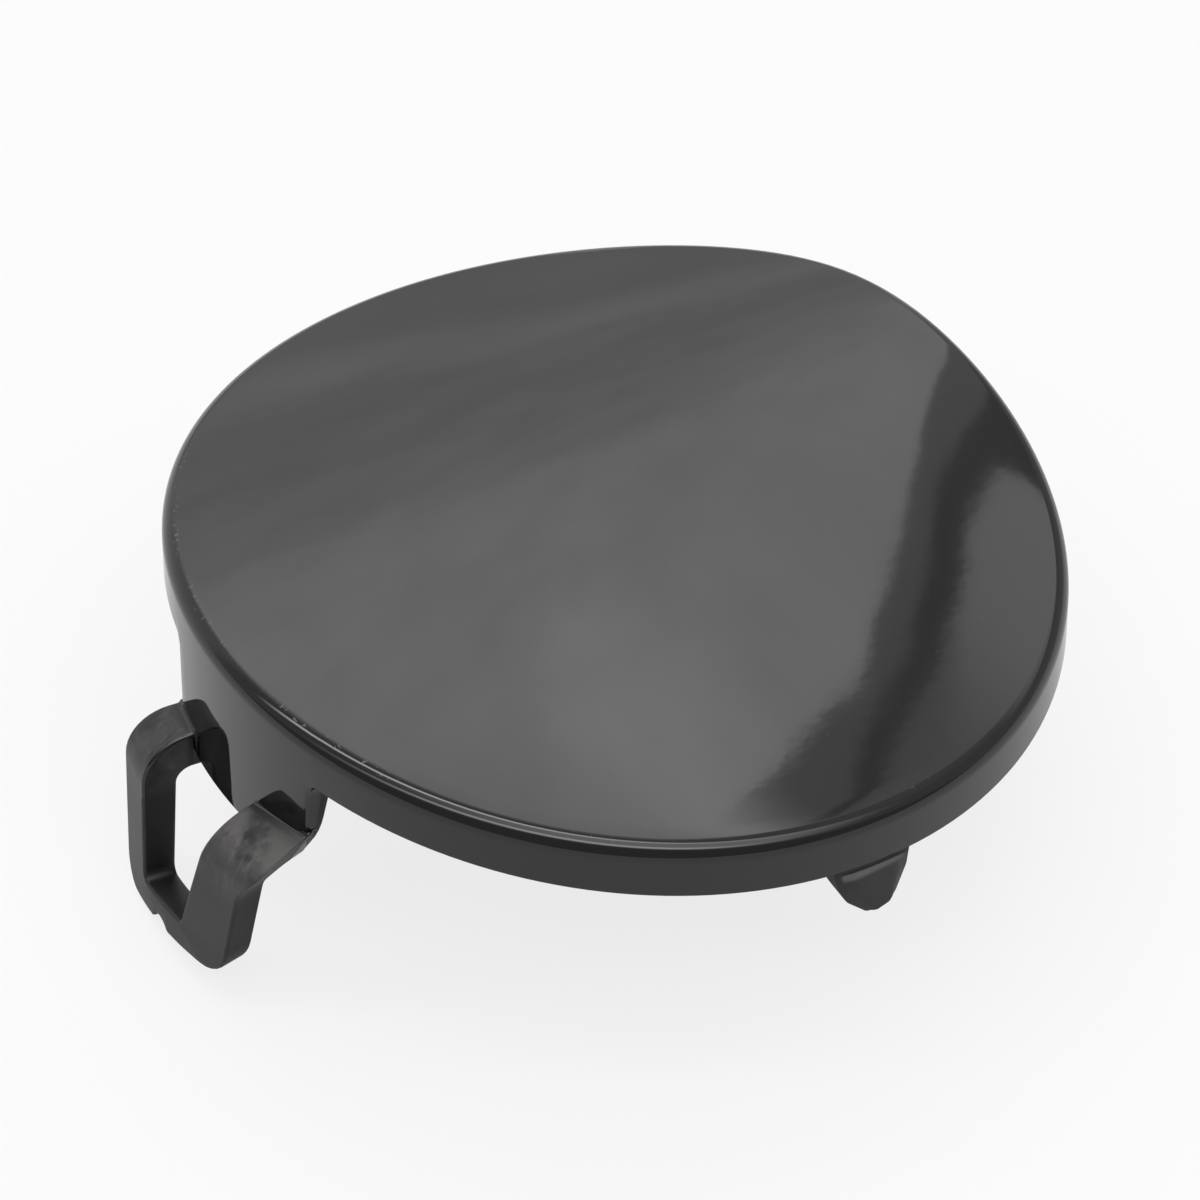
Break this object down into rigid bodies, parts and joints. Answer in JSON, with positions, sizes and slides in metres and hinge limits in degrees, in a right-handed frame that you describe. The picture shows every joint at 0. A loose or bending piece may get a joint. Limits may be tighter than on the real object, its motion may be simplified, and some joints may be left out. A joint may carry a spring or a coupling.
{
  "type": "tow hook cover",
  "caption": "Round gloss black cap that plugs a bumper's towing eye opening: ridged free-form face, shallow skirt, snap clips and a bent loop hook.",
  "frame": {"origin": "on the skirt's axis at the mean height of the face's rim, which is the bumper's outer surface round the opening", "axes": "+Z along the skirt's axis out of the bumper, -X towards the loop hook, +Y towards the loop's straight leg"},
  "size_m": [0.0804, 0.076, 0.0333],
  "materials": {
    "gloss_black": "glossy black moulded plastic"
  },
  "bodies": {
    "root": {"tow_hook_cover": "gloss_black"}
  },
  "joints": []
}
